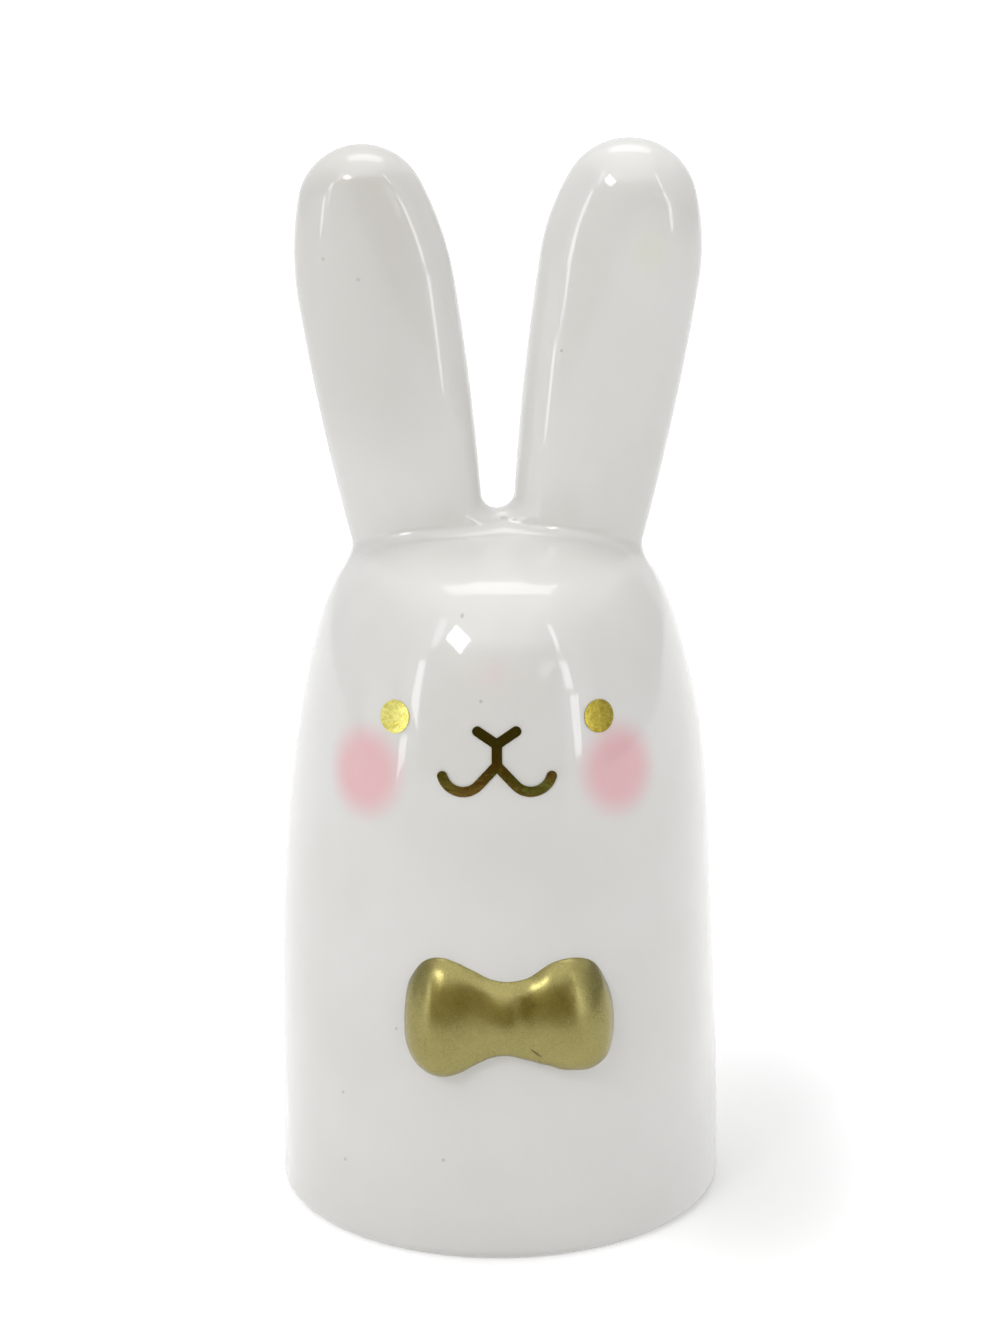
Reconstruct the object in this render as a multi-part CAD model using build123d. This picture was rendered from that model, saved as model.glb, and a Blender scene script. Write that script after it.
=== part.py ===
from build123d import *
from collections import namedtuple
import math
import os

# Rabbit figurine in glazed ceramic, in millimetres
# The origin is the middle of the foot, +Z is up and the face looks along -Y

# Body: a hollow bell, round in plan, closed by its own base
# Its profile is stacked from the floor: each stretch rises and draws in from the one below
foot_radius = 24.9
waist_height = 47.3
waist_inset = 1.6
shoulder_rise = 14.9
shoulder_inset = 2.4
crown_rise = 11.1
crown_inset = 4.8
dome_rise = 3.1
mould_draft = 0.6
wall = 3.2
base_thickness = 3.6
cavity_corner_radius = 2.0
foot_edge_radius = 1.4
foot_ring_width = 3.0
foot_recess_depth = 1.2
foot_recess_easing = 0.5
vent_hole_radius = 4.0

# Ears: flattened drops that lean outward, luted to stubs on the crown
# Each is pressed by hand, so the right one came out a little longer and fuller
left_ear_length = 42.7
left_ear_flare = 1.25
left_ear_tip_inset = 1.6
left_ear_widest_below_tip = 16.4
right_ear_length = 43.3
right_ear_flare = 1.45
right_ear_tip_inset = 1.4
right_ear_widest_below_tip = 14.2
ear_valley = 2.95
ear_valley_shift = 0.12
ear_half_depth = 4.6
ear_lean = 8.9
ear_toe_in = 4.0
ear_set_back = 2.0
ear_foot_lift = 0.4
ear_seat_rise = 4.6
ear_root_depth = 6.0
ear_root_fillet_share = 0.47

# Bow tie: a sprig pressed onto the chest, two lobes and a knot
bow_height = 13.3
bow_depth = 3.0
bow_left_reach = 11.3
bow_right_reach = 12.5
bow_knot_offset = 0.5
bow_middle_height = 28.85
bow_sink = 0.6
# Stations from the knot to the end of a lobe: share of its reach, of the height and of the depth
bow_station_shares = [
    (0.00, 0.635, 0.84),
    (0.10, 0.650, 0.82),
    (0.20, 0.705, 0.76),
    (0.33, 0.825, 0.90),
    (0.48, 0.945, 1.00),
    (0.64, 1.000, 1.00),
    (0.78, 0.965, 0.90),
    (0.90, 0.800, 0.66),
    (0.97, 0.550, 0.34),
    (1.00, 0.350, 0.00),
]

# Face: foil transfers on the glaze
foil_thickness = 0.1
eye_diameter = 3.6
eye_below_shoulder = 0.9
eye_angle = 31.3
face_turn = -0.4
nose_below_shoulder = 2.9
nose_half_width = 2.07
nose_rise = 1.4
face_stroke = 1.12
stem_length = 2.3
mouth_half_width = 5.87
mouth_hip_offset = 2.0
mouth_hip_drop = 4.45
mouth_end_drop = 3.52

# How far cutting and trimming solids run past what they cut
overrun = 5.0

# Places along the profile where a parallel profile is set out, as shares of its length
parallel_shares = [0.0, 0.2, 0.4, 0.5, 0.6, 0.68, 0.76, 0.83, 0.9, 0.95, 1.0]

waist_radius = foot_radius - waist_inset
shoulder_radius = waist_radius - shoulder_inset
shoulder_height = waist_height + shoulder_rise
crown_radius = shoulder_radius - crown_inset
crown_height = shoulder_height + crown_rise
body_height = crown_height + dome_rise

# The feet of the ears run from the valley between them to the edge of the crown
ear_foot_height = body_height + ear_foot_lift
ear_foot_half_width = (crown_radius - ear_valley / 2) / 2
ear_root_fillet = ear_valley * ear_root_fillet_share


def outline():
    """Profile of the body from the floor to the apex."""
    return Spline(
        (foot_radius, 0),
        (waist_radius, waist_height),
        (shoulder_radius, shoulder_height),
        (crown_radius, crown_height),
        (0, body_height),
        tangents=[(-math.tan(math.radians(mould_draft)), 1), (-1, 0)],
    )


def parallel_outline(grow):
    """Profile at a distance outside the body, or inside it where the distance is negative."""
    curve = outline()
    points = []
    for share in parallel_shares:
        along = curve % share
        points.append(curve @ share + Vector(along.Y, -along.X) * grow)
    return Spline(*points, tangents=[curve % 0, curve % 1])


def bell_face(grow=0.0):
    """Half section of the bell, filled."""
    curve = parallel_outline(grow) if grow else outline()
    return make_face(curve + Line(curve @ 1, (0, 0)) + Line((0, 0), curve @ 0))


def turned(section):
    """Revolve a half section about the upright axis, with its seam at the back."""
    return revolve(Plane.YZ * section, Axis.Z)


def profile_at(height):
    """Point and direction of the profile at a height, found by halving."""
    curve = outline()
    low, high = 0.0, 1.0
    while high - low > 1e-9:
        middle = (low + high) / 2
        low, high = (middle, high) if (curve @ middle).Y < height else (low, middle)
    return curve @ low, curve % low


def surface_plane(angle, height):
    """Plane that touches the body at an angle from the front, x to the right and y up."""
    point, along = profile_at(height)
    turn = math.radians(angle)
    outward = Vector(math.sin(turn), -math.cos(turn), 0)
    normal = outward * along.Y + Vector(0, 0, -along.X)
    origin = outward * point.X + Vector(0, 0, point.Y)
    return Plane(origin, x_dir=(math.cos(turn), math.sin(turn), 0), z_dir=normal)


def block(x_low, x_high, y_low, y_high):
    """Rectangle in a half section."""
    centre = Pos((x_low + x_high) / 2, (y_low + y_high) / 2)
    return centre * Rectangle(x_high - x_low, y_high - y_low)


def outer_form():
    """The bell as a full solid, with its foot edge rounded."""
    section = bell_face()
    rim = section.vertices().sort_by(Axis.X)[-1]
    return turned(fillet(rim, foot_edge_radius))


def hollow_form():
    """What is cut out of the bell: cavity, vent hole and the recess inside the foot ring."""
    cavity = bell_face(-wall) - block(-overrun, foot_radius, -overrun, base_thickness)
    cavity = fillet(cavity.vertices().sort_by(Axis.X)[-1], cavity_corner_radius)
    recess = block(0, foot_radius - foot_edge_radius - foot_ring_width, -overrun, foot_recess_depth)
    recess = fillet(recess.vertices().group_by(Axis.Y)[-1].sort_by(Axis.X)[-1], foot_recess_easing)
    vent = block(0, vent_hole_radius, -overrun, base_thickness + overrun)
    return turned(cavity) + turned(recess) + turned(vent)


Ear = namedtuple("Ear", "side length half_width tip_radius widest_below_tip")


def sized_ear(side, length, flare, tip_inset, widest_below_tip):
    """Sizes of one ear. Side is -1 on the left and 1 on the right."""
    half_width = ear_foot_half_width + flare
    return Ear(side, length, half_width, half_width - tip_inset, widest_below_tip)


left = sized_ear(-1, left_ear_length, left_ear_flare, left_ear_tip_inset, left_ear_widest_below_tip)
right = sized_ear(1, right_ear_length, right_ear_flare, right_ear_tip_inset, right_ear_widest_below_tip)


def ear_frame(ear, rise=0.0):
    """Frame on an ear's axis, at a rise above its foot, with z along the ear and y to the back."""
    lean = math.radians(ear_lean)
    along = Vector(ear.side * math.sin(lean), 0, math.cos(lean))
    offset = ear.side * (ear_valley / 2 + ear_foot_half_width) + ear_valley_shift
    foot = Vector(offset, ear_set_back, ear_foot_height)
    return Plane(foot + along * (rise / along.Z), x_dir=(along.Z, 0, -along.X), z_dir=along)


def ear_outline(ear):
    """Half outline of an ear: a round tip, a shoulder arc and a long side arc."""
    tip_centre = ear.length - ear.tip_radius
    widest = ear.length - ear.widest_below_tip
    rise = tip_centre - widest
    spare = ear.half_width - ear.tip_radius
    shoulder_arc_radius = (ear.half_width**2 + rise**2 - ear.tip_radius**2) / (2 * spare)
    share = ear.tip_radius / (shoulder_arc_radius - ear.tip_radius)
    join = ((shoulder_arc_radius - ear.half_width) * share, tip_centre + rise * share)
    narrowing = ear.half_width - ear_foot_half_width
    side_radius = (widest**2 + narrowing**2) / (2 * narrowing)
    reach = widest + ear_root_depth
    root = ear.half_width - side_radius + math.sqrt(side_radius**2 - reach**2)
    tip_arc = TangentArc((0, ear.length), join, tangent=(1, 0))
    shoulder_arc = TangentArc(join, (ear.half_width, widest), tangent=tip_arc % 1)
    side_arc = TangentArc((ear.half_width, widest), (root, -ear_root_depth), tangent=(0, -1))
    closing = Line(side_arc @ 1, (0, -ear_root_depth)) + Line((0, -ear_root_depth), (0, ear.length))
    return make_face(tip_arc + shoulder_arc + side_arc + closing)


def ear_form(ear):
    """A whole ear with its root inside the crown, flattened from a round drop and toed in."""
    drop = turned(ear_outline(ear))
    flat = scale(drop, by=(1, ear_half_depth / ear.half_width, 1))
    return ear_frame(ear).location * Rot(0, 0, -ear.side * ear_toe_in) * flat


def body_shell():
    """Hollow bell with its foot ring, vent hole and the filleted stubs of both ears."""
    bell = outer_form()
    ears = [ear_form(ear) for ear in (left, right)]
    shell = bell + ears
    shell = fillet(new_edges(bell, *ears, combined=shell), ear_root_fillet)
    for ear in (left, right):
        above = Pos(0, 0, ear.length / 2) * Box(2 * ear.half_width, ear.length, ear.length)
        shell -= ear_frame(ear, ear_seat_rise).location * above
    return shell - hollow_form()


def luted_ear(ear):
    """An ear above its flat seat."""
    return split(ear_form(ear), bisect_by=ear_frame(ear, ear_seat_rise), keep=Keep.TOP)


def bow_section(angle, radius, half_height, bulge):
    """Half ellipse in an upright plane at an angle from the front, its flat side under the glaze."""
    turn = math.radians(angle)
    outward = Vector(math.sin(turn), -math.cos(turn), 0)
    plane = Plane((0, 0, bow_middle_height), x_dir=outward, z_dir=outward.cross(Vector(0, 0, 1)))
    arch = EllipticalCenterArc((radius - bow_sink, 0), bulge + bow_sink / 2, half_height, -90, arc_size=180)
    return plane * make_face(arch + Line(arch @ 1, arch @ 0))


def bow_tie():
    """Bow in relief: lofted lobes and knot, its back pressed to the chest."""
    radius = profile_at(bow_middle_height)[0].X
    stations = [(-bow_left_reach, shares) for shares in reversed(bow_station_shares[1:])]
    stations += [(bow_right_reach, shares) for shares in bow_station_shares]
    sections = []
    for reach, (along, height, depth) in stations:
        angle = math.degrees((bow_knot_offset + reach * along) / radius)
        bulge = depth * (bow_depth + bow_sink / 2)
        sections.append(bow_section(angle, radius, height * bow_height / 2, bulge))
    return loft(sections) - outer_form()


def pressed_foil(shape):
    """Foil of a shape that stands through the glaze, as thin as the transfer."""
    return (shape & turned(bell_face(foil_thickness))) - turned(bell_face())


def eye(side):
    """Round foil dot."""
    place = surface_plane(face_turn + side * eye_angle, shoulder_height - eye_below_shoulder).location
    return pressed_foil(place * Cylinder(eye_diameter / 2, 2 * overrun))


def nose_mouth():
    """Strokes of the nose, the stem and both curves of the mouth, in one foil."""
    drawing = SlotArc(Line((0, 0), (0, -stem_length)), face_stroke)
    for side in (-1, 1):
        drawing += SlotArc(Line((0, 0), (side * nose_half_width, nose_rise)), face_stroke)
        hip = (side * mouth_hip_offset, -mouth_hip_drop)
        slope = Line((0, -stem_length), hip)
        curl = TangentArc(hip, (side * mouth_half_width, -mouth_end_drop), tangent=slope % 1)
        drawing += SlotArc(Wire([slope, curl]), face_stroke)
    place = surface_plane(face_turn, shoulder_height - nose_below_shoulder)
    return pressed_foil(extrude(place * drawing, overrun, both=True))


os.makedirs("parts", exist_ok=True)
export_step(body_shell(), "parts/body_shell.step")
export_step(luted_ear(left), "parts/left_ear.step")
export_step(luted_ear(right), "parts/right_ear.step")
export_step(bow_tie(), "parts/bow_tie.step")
export_step(eye(-1), "parts/left_eye.step")
export_step(eye(1), "parts/right_eye.step")
export_step(nose_mouth(), "parts/nose_mouth.step")
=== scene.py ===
import math

import bmesh
import bpy
import numpy as np
from mathutils import Matrix, Vector


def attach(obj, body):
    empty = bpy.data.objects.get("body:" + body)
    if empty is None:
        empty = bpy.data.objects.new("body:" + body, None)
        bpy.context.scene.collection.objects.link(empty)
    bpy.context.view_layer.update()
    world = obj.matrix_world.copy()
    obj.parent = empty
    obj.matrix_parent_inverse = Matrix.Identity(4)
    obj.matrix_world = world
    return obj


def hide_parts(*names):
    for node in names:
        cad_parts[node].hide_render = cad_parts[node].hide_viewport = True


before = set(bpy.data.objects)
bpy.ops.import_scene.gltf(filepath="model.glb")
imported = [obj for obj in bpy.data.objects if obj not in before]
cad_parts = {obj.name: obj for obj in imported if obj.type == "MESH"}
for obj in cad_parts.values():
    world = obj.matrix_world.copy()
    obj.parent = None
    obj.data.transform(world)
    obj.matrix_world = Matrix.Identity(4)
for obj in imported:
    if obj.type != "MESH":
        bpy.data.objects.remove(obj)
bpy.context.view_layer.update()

# Forms are worked out in millimetres and written to the meshes in metres
MM = 0.001
TINY = 1e-9

# Body profile as radius and height, the same curve as the solid's, with its slopes at both ends
BODY_POINTS = np.array([(24.9, 0.0), (23.3, 47.3), (20.9, 62.2), (16.1, 73.3), (0.0, 76.4)])
BODY_START = np.array([-math.sin(math.radians(0.6)), math.cos(math.radians(0.6))])
BODY_END = np.array([-1.258, 0.0])
PROFILE_STEP = 0.05

# Inside and underside of the body. FOOT_INNER and VENT are radii
WALL = 3.2
BASE = 3.6
FOOT_EDGE = 1.4
FOOT_INNER = 20.5
FOOT_INNER_EDGE = 0.25
RECESS = 1.2
RECESS_CORNER = 0.5
VENT = 4.0
VENT_EDGE = 0.3
VENT_MIDDLE = 2.3
CAVITY_CORNER = 2.0
BASE_RINGS = (17.0, 13.0, 9.0, 6.0)
HOLLOW_STRIDE = 40
OUTSIDE_LOW = 1.6
OUTSIDE_ROWS = 96
COLUMNS = 288

# How far the right side of the body departs from round, with the height it happens at
SIDE_POINTS = np.array([
    (0.0, 0.0), (0.0, 6.0), (-0.2, 20.0), (-0.36, 33.0), (-0.06, 45.0), (0.26, 55.0), (0.0, 68.0)
])
SIDE_SLOPE = np.array([0.0, 1.0])
SIDE_STEP = 0.1
LEFT_SWELL = 0.12
BODY_INSET = 0.05

# Both ears lean out from the valley between them and a little back
EAR_FOOT_DEPTH = 3.75
EAR_VALLEY = 3.12
EAR_SHIFT = 0.12
EAR_LEAN = math.radians(8.9)
EAR_LEAN_BACK = 2.0
EAR_LEAN_TOP = 50
EAR_SET_BACK = 2.0
EAR_FOOT_HEIGHT = 76.8
EAR_SEAT_RISE = 4.6
EAR_BURIED = 6
EAR_TIP_GAP = 0.01
# The depth swells up to one height, then thins from the next one up
EAR_SWELL_TOP = 10
EAR_THIN_FROM = 8
EAR_THIN_LIMIT = 1.4
EAR_THIN_POWER = 1.8
# Outline, turn about the ear's own axis in degrees, half depths low down and high up, and the
# height of the rounded cap
EARS = {
    "left": dict(
        side=-1, length=42.6, foot=7.44, half_width=8.66, tip_radius=7.1, below_tip=16.4,
        turn=4.5, low_depth=4.85, high_depth=4.15, cap=3.3,
    ),
    "right": dict(
        side=1, length=43.2, foot=7.3125, half_width=8.78, tip_radius=7.45, below_tip=14.2,
        turn=3.6, low_depth=4.93, high_depth=4.5, cap=5.8,
    ),
}

# Fillet from the crown to the ears, and the web between the ears, which widens downward
ROOT_BLEND = 1.55
WEB_HEIGHT = 80.28
WEB_RADIUS = 3.58
WEB_SLOPE = 1.33
WEB_LIMITS = (1.2, 6.6)

# Above the cut the form comes from a net over a field, below it from a lathe
CUT_HEIGHT = 70.0
NET_STEP = 0.45
NET_LOW = (-24.5, -19.6, CUT_HEIGHT - 1.2)
NET_HIGH = (24.5, 19.6, 121.0)
CUT_MERGE = 1e-5
SEAT_LOWEST = 79.5

# Normals come from the field where it meets the mesh, and lie flat on the many-cornered seats
NORMAL_FROM = CUT_HEIGHT - 0.6
NORMAL_STEP = 0.02
ON_SURFACE = 0.05
SEAT_CORNERS = 20


def hermite(t, h, start, end, start_slope, end_slope):
    """Cubic between two values with two slopes, over a span of length h."""
    return (
        (2 * t**3 - 3 * t**2 + 1) * start
        + (t**3 - 2 * t**2 + t) * h * start_slope
        + (-2 * t**3 + 3 * t**2) * end
        + (t**3 - t**2) * h * end_slope
    )


def cubic_through(points, start, end, step):
    """C2 cubic through points by chord length, sampled about every step."""
    chord = np.linalg.norm(np.diff(points, axis=0), axis=1)
    knot = np.concatenate([[0], np.cumsum(chord)])
    size = len(points)
    matrix, right = np.eye(size), np.zeros_like(points)
    right[0], right[-1] = start, end
    for i in range(1, size - 1):
        matrix[i, i - 1] = chord[i]
        matrix[i, i] = 2 * (chord[i - 1] + chord[i])
        matrix[i, i + 1] = chord[i - 1]
        before = (points[i] - points[i - 1]) / chord[i - 1]
        after = (points[i + 1] - points[i]) / chord[i]
        right[i] = 3 * (chord[i] * before + chord[i - 1] * after)
    slope = np.linalg.solve(matrix, right)
    at = np.linspace(0, knot[-1], int(knot[-1] / step) + 1)
    k = np.clip(np.searchsorted(knot, at) - 1, 0, size - 2)
    t = ((at - knot[k]) / chord[k])[:, None]
    return hermite(t, chord[k][:, None], points[k], points[k + 1], slope[k], slope[k + 1])


PROFILE = cubic_through(BODY_POINTS, BODY_START, BODY_END, PROFILE_STEP)
_tangent = np.gradient(PROFILE, axis=0)
_length = np.linalg.norm(_tangent, axis=1, keepdims=True)
TANGENT = _tangent / _length
OUTWARD = np.stack([TANGENT[:, 1], -TANGENT[:, 0]], 1)
CURVATURE = -(np.gradient(TANGENT, axis=0) * OUTWARD).sum(1) / _length[:, 0]
SIDE_OFFSETS = cubic_through(SIDE_POINTS, SIDE_SLOPE, SIDE_SLOPE, SIDE_STEP)


def radius_at(z):
    """Radius of the body at a height below its apex."""
    return np.interp(z, PROFILE[:, 1], PROFILE[:, 0])


# Nearest profile sample for the nodes of a coarse table of radii and heights, so that distances
# stay quick
TABLE_STEP = 0.25
TABLE_LOW = np.array([0.0, 60.0])
TABLE_SIZE = (100, 110)
TABLE_PROFILE_FROM = 50
TABLE_BATCH = 2000


def nearest_table():
    axes = [low + TABLE_STEP * np.arange(n) for low, n in zip(TABLE_LOW, TABLE_SIZE)]
    nodes = np.stack(np.meshgrid(*axes, indexing="ij"), -1).reshape(-1, 2)
    part = np.nonzero(PROFILE[:, 1] > TABLE_PROFILE_FROM)[0]
    found = np.empty(len(nodes), int)
    for i in range(0, len(nodes), TABLE_BATCH):
        gap = nodes[i : i + TABLE_BATCH, None] - PROFILE[part][None]
        found[i : i + TABLE_BATCH] = part[(gap**2).sum(2).argmin(1)]
    return found.reshape(TABLE_SIZE)


NEAREST = nearest_table()


def body_field(p):
    """Signed distance in mm to the bell."""
    q = np.stack([np.hypot(p[:, 0], p[:, 1]), p[:, 2]], 1)
    cell = np.rint((q - TABLE_LOW) / TABLE_STEP).astype(int)
    cell = np.clip(cell, 0, np.array(TABLE_SIZE) - 1)
    k = NEAREST[cell[:, 0], cell[:, 1]]
    gap = q - PROFILE[k]
    along, out, bend = (gap * TANGENT[k]).sum(1), (gap * OUTWARD[k]).sum(1), CURVATURE[k]
    return (bend * (along**2 + out**2) + 2 * out) / (
        np.sqrt((bend * along) ** 2 + (1 + bend * out) ** 2) + 1
    )


def smooth(low, high, value):
    """Smooth step from 0 at low to 1 at high."""
    t = np.clip((value - low) / (high - low), 0, 1)
    return t * t * (3 - 2 * t)


def ear_axes(ear):
    """Middle of an ear's foot, and the directions across and along the ear."""
    side = ear["side"]
    along = np.array([side * math.sin(EAR_LEAN), 0, math.cos(EAR_LEAN)])
    across = np.array([math.cos(EAR_LEAN), 0, -side * math.sin(EAR_LEAN)])
    offset = side * (EAR_VALLEY / 2 + ear["foot"]) + EAR_SHIFT
    foot = np.array([offset, EAR_SET_BACK, EAR_FOOT_HEIGHT])
    return foot, across, along


def ear_arcs(ear):
    """Centre and radius of the three arcs of an ear's outline: flank, shoulder and tip."""
    half, tip = ear["half_width"], ear["tip_radius"]
    tip_centre = ear["length"] - tip
    widest = ear["length"] - ear["below_tip"]
    rise = tip_centre - widest
    shoulder = (half**2 + rise**2 - tip**2) / (2 * (half - tip))
    narrowing = half - ear["foot"]
    flank = (widest**2 + narrowing**2) / (2 * narrowing)
    return [
        (half - flank, widest, flank),
        (half - shoulder, widest, shoulder),
        (0.0, tip_centre, tip),
    ]


def ear_depth(level, ear):
    """Half depth of an ear at a height up its axis: it swells, thins and is rounded off."""
    low, high, cap = ear["low_depth"], ear["high_depth"], ear["cap"]
    cap_from = ear["length"] - cap
    depth = EAR_FOOT_DEPTH + (low - EAR_FOOT_DEPTH) * smooth(0, EAR_SWELL_TOP, level)
    thin = np.clip((level - EAR_THIN_FROM) / (cap_from - EAR_THIN_FROM), 0, EAR_THIN_LIMIT)
    depth = depth - (low - high) * thin**EAR_THIN_POWER
    return depth * np.sqrt(1 - np.clip((level - cap_from) / cap, 0, 1) ** 2)


def ear_field(p, ear):
    """About the signed distance in mm to one ear, with an ellipse for every section."""
    foot, across, along = ear_axes(ear)
    v = p - foot
    x0, z = v @ across, v @ along
    y0 = v[:, 1] - EAR_LEAN_BACK * np.clip(z, 0, EAR_LEAN_TOP) / ear["length"]
    turn = math.radians(ear["turn"])
    x = x0 * math.cos(turn) - y0 * math.sin(turn)
    y = x0 * math.sin(turn) + y0 * math.cos(turn)
    arcs = ear_arcs(ear)
    (_, widest, _), (shoulder_x, _, shoulder), (_, tip_centre, tip) = arcs
    rise = tip_centre - widest
    level = np.clip(z, -EAR_BURIED, ear["length"] - EAR_TIP_GAP)
    at_flank, at_shoulder, at_tip = (
        cx + np.sqrt(np.maximum(radius**2 - (level - cz) ** 2, 0)) for cx, cz, radius in arcs
    )
    touch = widest + shoulder * rise / (shoulder - tip)
    width = np.where(level <= widest, at_flank, np.where(level <= touch, at_shoulder, at_tip))
    k = width / ear_depth(level, ear)
    rho = np.sqrt(x**2 + (y * k) ** 2 + TINY)
    join = -shoulder_x * (z - widest) - rise * (rho - shoulder_x)
    which = np.where(z <= widest, 0, np.where(join > 0, 2, 1))
    distance, steep = np.empty_like(z), np.empty_like(z)
    spread = (x**2 + (y * k * k) ** 2) / rho**2
    for i, (cx, cz, radius) in enumerate(arcs):
        m = which == i
        dr, dz = rho[m] - cx, z[m] - cz
        far = np.hypot(dr, dz) + TINY
        distance[m] = far - radius
        steep[m] = np.sqrt((dr / far) ** 2 * spread[m] + (dz / far) ** 2)
    return distance / np.maximum(steep, 0.3)


def joined(a, b, radius):
    """Union of two fields with a fillet."""
    return np.maximum(radius, np.minimum(a, b)) - np.hypot(
        np.maximum(radius - a, 0), np.maximum(radius - b, 0)
    )


def field(p):
    """The whole glazed form: bell, ears, fillets and the web in the valley between the ears."""
    rise = p[:, 2] - WEB_HEIGHT
    web = np.clip(WEB_RADIUS - WEB_SLOPE * rise, *WEB_LIMITS)
    ears = joined(ear_field(p, EARS["left"]), ear_field(p, EARS["right"]), web)
    return joined(body_field(p), ears, ROOT_BLEND)


def gradient(p, step=0.01):
    g = np.empty_like(p)
    for axis in range(3):
        shift = np.zeros(3)
        shift[axis] = step
        g[:, axis] = (field(p + shift) - field(p - shift)) / (2 * step)
    return g


def settle(p, rounds=4, least_slope=0.05):
    """Move points onto the surface."""
    for _ in range(rounds):
        g = gradient(p)
        p = p - g * (field(p) / np.maximum((g * g).sum(1), least_slope))[:, None]
    return p


def surface_net(low, high, step):
    """Points and quads over the zero surface of the field in a box."""
    axes = [np.arange(a, b + step / 2, step) for a, b in zip(low, high)]
    grid = np.stack(np.meshgrid(*axes, indexing="ij"), -1)
    value = field(grid.reshape(-1, 3)).reshape(grid.shape[:3])
    inside = value < 0
    nx, ny, nz = value.shape
    corner = [(a, b, c) for a in (0, 1) for b in (0, 1) for c in (0, 1)]

    def at(array, c):
        return array[c[0] : nx - 1 + c[0], c[1] : ny - 1 + c[1], c[2] : nz - 1 + c[2]]

    count = sum(at(inside, c).astype(int) for c in corner)
    mixed = (count > 0) & (count < 8)
    index = np.full(mixed.shape, -1)
    index[mixed] = np.arange(mixed.sum())
    total, hits = np.zeros((mixed.sum(), 3)), np.zeros(mixed.sum())
    for a in corner:
        for axis in range(3):
            if a[axis]:
                continue
            b = tuple(v + (i == axis) for i, v in enumerate(a))
            fa, fb = at(value, a)[mixed], at(value, b)[mixed]
            pa, pb = at(grid, a)[mixed], at(grid, b)[mixed]
            cross = (fa < 0) != (fb < 0)
            t = np.where(cross, fa / np.where(cross, fa - fb, 1), 0)[:, None]
            total += np.where(cross[:, None], pa + t * (pb - pa), 0)
            hits += cross
    points = total / hits[:, None]
    quads = []
    for axis in range(3):
        u, v = [(1, 2), (2, 0), (0, 1)][axis]
        first = [slice(1, n - 1) for n in (nx, ny, nz)]
        first[axis] = slice(0, value.shape[axis] - 1)
        second = list(first)
        second[axis] = slice(1, value.shape[axis])
        a, b = inside[tuple(first)], inside[tuple(second)]
        where = np.argwhere(a != b) + [s.start for s in first]
        out = a[a != b]
        step_u, step_v = np.eye(3, dtype=int)[u], np.eye(3, dtype=int)[v]
        ring = [where, where - step_u, where - step_u - step_v, where - step_v]
        ring = np.stack([index[tuple(c.T)] for c in ring], 1)
        quads.append(np.where(out[:, None], ring, ring[:, ::-1]))
    quads = np.concatenate(quads)
    return points, quads[(quads >= 0).all(1)]


def arc(centre, radius, start, end, count):
    """Points of an arc, by angles in degrees."""
    a = np.radians(np.linspace(start, end, count))
    return [(centre[0] + radius * math.cos(t), centre[1] + radius * math.sin(t)) for t in a]


def lathe_path():
    """Radius and height from just under the cut, down the outside, round the foot, over the
    underside, through the vent and up into the hollow, with the last glazed row and the top."""
    top = CUT_HEIGHT - NET_STEP
    drop = (top - OUTSIDE_LOW) / OUTSIDE_ROWS
    heights = top - drop * np.arange(OUTSIDE_ROWS + 1)
    path = [(float(radius_at(z)), float(z)) for z in heights]
    rim = float(radius_at(FOOT_EDGE)) - FOOT_EDGE
    path += arc((rim, FOOT_EDGE), FOOT_EDGE, -4, -90, 14)
    glazed = len(path) - 3
    path += [(rim - 1.0, 0.0), (FOOT_INNER + 1.0, 0.0)]
    edge, corner = FOOT_INNER_EDGE, RECESS_CORNER
    path += arc((FOOT_INNER + edge, edge), edge, -90, -180, 5)
    path += arc((FOOT_INNER - corner, RECESS - corner), corner, 0, 90, 7)
    path += [(r, RECESS) for r in BASE_RINGS]
    path += arc((VENT + VENT_EDGE, RECESS + VENT_EDGE), VENT_EDGE, -90, -180, 5)
    path += [(VENT, VENT_MIDDLE)]
    path += arc((VENT + VENT_EDGE, BASE - VENT_EDGE), VENT_EDGE, 180, 90, 5)
    path += [(r, BASE) for r in reversed(BASE_RINGS)]
    inner = PROFILE - WALL * OUTWARD
    inner = inner[inner[:, 1] < inner[-1, 1]]
    wall = float(np.interp(BASE + CAVITY_CORNER, inner[:, 1], inner[:, 0]))
    path += arc((wall - CAVITY_CORNER, BASE + CAVITY_CORNER), CAVITY_CORNER, -90, 0, 8)
    upper = inner[(inner[:, 1] > BASE + CAVITY_CORNER + 0.5) & (inner[:, 0] > 0.5)]
    path += [tuple(map(float, upper[i])) for i in range(0, len(upper), HOLLOW_STRIDE)]
    return np.array(path), glazed, float(PROFILE[-1, 1] - WALL)


def bulge(angle, z):
    """How far the outside departs from round, in mm, fading out at the foot and at the cut."""
    right = np.maximum(np.cos(angle), 0) ** 4
    left = np.maximum(-np.cos(angle), 0) ** 4
    right_offset = np.interp(z, SIDE_OFFSETS[:, 1], SIDE_OFFSETS[:, 0])
    left_offset = LEFT_SWELL * smooth(12, 36, z) * (1 - smooth(42, 62, z))
    offset = -BODY_INSET + right * right_offset + left * left_offset
    return offset * smooth(0.3, 3, z) * (1 - smooth(60, 69, z))


def from_arrays(name, points, faces):
    mesh = bpy.data.meshes.new(name)
    mesh.from_pydata([tuple(p) for p in points], [], [tuple(f) for f in faces])
    return mesh


def grid_faces(columns, rows):
    """Quads over points that are listed column by column."""
    return [
        (a, a + rows, a + rows + 1, a + 1)
        for i in range(columns - 1)
        for a in range(i * rows, i * rows + rows - 1)
    ]


def angle_of(vert):
    return math.atan2(vert.co.y, vert.co.x)


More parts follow.
